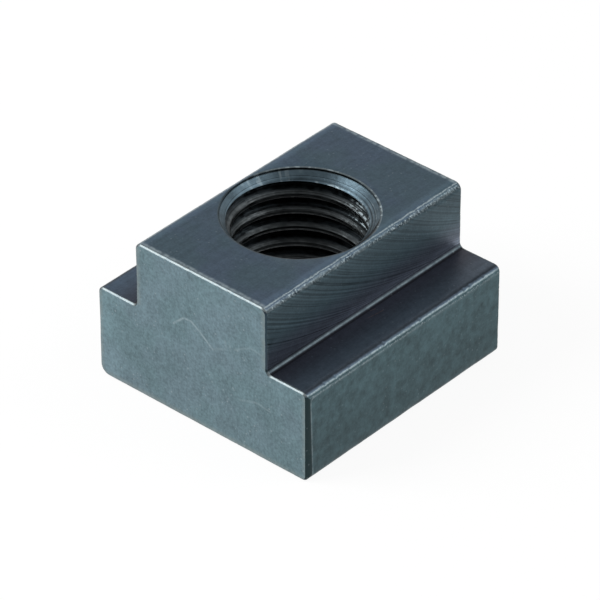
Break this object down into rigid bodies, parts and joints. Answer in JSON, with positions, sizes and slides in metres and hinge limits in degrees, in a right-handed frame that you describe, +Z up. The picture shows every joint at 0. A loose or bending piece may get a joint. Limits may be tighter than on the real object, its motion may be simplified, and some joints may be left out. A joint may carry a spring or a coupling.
{
  "type": "t slot nut",
  "caption": "Steel T-slot nut with a wide base, a narrow neck and a metric threaded hole straight through, for holding down work or fixtures in a table slot.",
  "frame": {"origin": "middle of the underside of the base, on the axis of the threaded hole", "axes": "+Z up the threaded hole, from the base to the neck; Y runs along the table slot; X runs across it"},
  "size_m": [0.028, 0.0296, 0.0184],
  "materials": {
    "blackened_steel": "black oxide over milled and sawn steel, dark blue-grey, with bare bright metal along the worn edges"
  },
  "bodies": {
    "root": {"t_slot_nut": "blackened_steel"}
  },
  "joints": []
}
